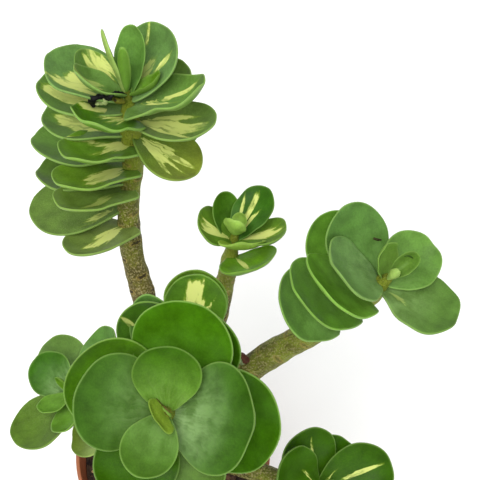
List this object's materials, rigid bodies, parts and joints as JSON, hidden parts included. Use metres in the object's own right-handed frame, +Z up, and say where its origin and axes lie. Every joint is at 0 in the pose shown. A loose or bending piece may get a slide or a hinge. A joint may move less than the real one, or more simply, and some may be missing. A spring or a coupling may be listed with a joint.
{
  "type": "potted portulaca molokiniensis",
  "caption": "Branched succulent with round, stacked, fleshy leaves on thick bare stems, some leaves variegated, growing in soil in a small round plastic pot.",
  "frame": {"origin": "middle of the pot's underside", "axes": "+Z up through the pot's rim; -Y towards the viewer of the picture; +X to the viewer's right"},
  "size_m": [0.2191, 0.2072, 0.2936],
  "materials": {
    "pot_plastic": "brick red, slightly worn satin",
    "potting_mix": "dark, crumbly, matte",
    "bark": "grey-brown to olive, rough, with leaf scars",
    "leaf": "satin green, fleshy, some with cream flames"
  },
  "bodies": {
    "root": {"pot": "pot_plastic", "soil": "potting_mix", "woody_stem": "bark", "tall_shoot": "leaf", "middle_shoot": "leaf", "right_shoot": "leaf", "front_shoot": "leaf", "left_shoot": "leaf", "low_shoot": "leaf"}
  },
  "joints": []
}
